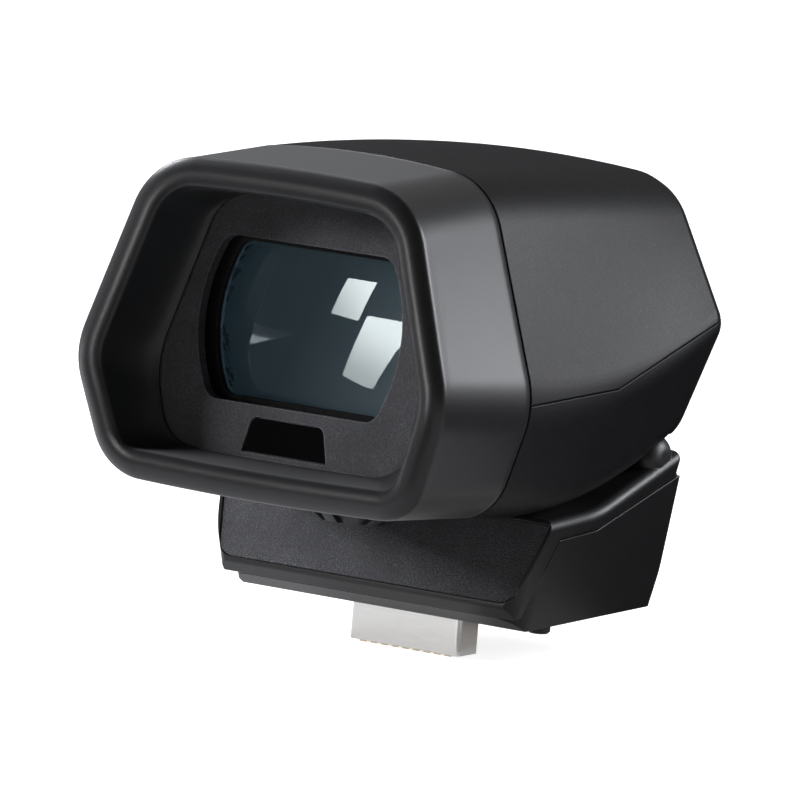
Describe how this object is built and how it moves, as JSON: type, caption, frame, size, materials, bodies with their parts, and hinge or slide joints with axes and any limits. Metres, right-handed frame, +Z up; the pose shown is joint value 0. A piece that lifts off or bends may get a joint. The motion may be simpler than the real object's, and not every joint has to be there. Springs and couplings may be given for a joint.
{
  "type": "electronic viewfinder",
  "caption": "Tilting electronic viewfinder with a rubber eyecup, a dioptre dial and a plug-in base that fastens on top of a camera.",
  "frame": {"origin": "centre of the plug in the plane of the base's underside", "axes": "+Z up, +Y from the eye towards the back of the viewfinder, +X to the right as the eye looks in"},
  "size_m": [0.0747, 0.0871, 0.0813],
  "materials": {
    "rubber_charcoal": "satin",
    "bezel_texture": "spark texture",
    "window_black": "gloss",
    "board_green": "matte",
    "inner_black": "matte",
    "screw_black": "black oxide",
    "shell_texture": "fine spark texture",
    "slip_washer": "smooth",
    "screen": "gloss",
    "base_satin": "satin",
    "plate_texture": "coarse spark texture",
    "brass_washer": "plain",
    "plug_metal": "satin nickel",
    "insulator": "matte",
    "contact_gold": "plated",
    "black_metal": "satin",
    "flex_film": "satin",
    "coated_glass": "polished",
    "dial_plastic": "satin",
    "steel": "brushed"
  },
  "bodies": {
    "base": {"base_cover": "base_satin", "base_plate": "plate_texture", "base_pan": "base_satin", "base_screws": "screw_black", "hinge_pin": "steel", "hinge_washers": "brass_washer", "plug_shell": "plug_metal", "plug_insulator": "insulator", "plug_contacts": "contact_gold", "plug_board": "board_green", "board_screws": "screw_black", "locating_pins": "black_metal", "screw_clip": "slip_washer", "hinge_flex": "flex_film"},
    "head": {"eyecup": "rubber_charcoal", "eyepiece_bezel": "bezel_texture", "sensor_window": "window_black", "sensor_board": "board_green", "eyecup_frame": "inner_black", "frame_screws": "screw_black", "upper_shell": "shell_texture", "lower_shell": "shell_texture", "shell_screws": "screw_black", "optic_tube": "inner_black", "optic_screws": "screw_black", "dial_washer": "slip_washer", "display_holder": "inner_black", "display_panel": "screen", "driver_board": "board_green", "display_screws": "screw_black", "hinge_bracket": "steel", "bracket_screws": "screw_black"},
    "lens_slide": {"lens_carriage": "inner_black", "lens_front": "coated_glass", "lens_middle": "coated_glass", "lens_rear": "coated_glass", "lens_spacers": "inner_black", "lens_retainer": "inner_black", "follower_pin": "steel"},
    "dial": {"dioptre_dial": "dial_plastic", "cam_disc": "inner_black", "dial_screw": "screw_black"},
    "screw_carrier": {"screw_washer": "steel"},
    "screw": {"mounting_screw": "steel"}
  },
  "joints": [
    {"name": "head_tilt", "type": "hinge", "parent": "base", "child": "head", "pos_m": [0, 0.0225, 0.0255], "axis": [-1, 0, 0], "range_deg": [0, 70], "deforming": ["hinge_flex"]},
    {"name": "dial_turn", "type": "hinge", "parent": "head", "child": "dial", "pos_m": [0, -0.02137, 0.02114], "axis": [0, 0.0811, 0.9967], "range_deg": [-100, 100]},
    {"name": "lens_focus", "type": "slide", "parent": "head", "child": "lens_slide", "axis": [0, 0.9967, -0.0811], "range_m": [-0.002, 0.002]},
    {"name": "screw_lift", "type": "slide", "parent": "base", "child": "screw_carrier", "axis": [0, 0, 1], "range_m": [-0.005, 0]},
    {"name": "screw_turn", "type": "hinge", "parent": "screw_carrier", "child": "screw", "pos_m": [0, 0.014, 0.0125], "axis": [0, 0, 1], "continuous": true}
  ],
  "couplings": [
    {"joint": "dial_turn", "follows": "lens_focus", "rad_per_m": -872.66}
  ]
}
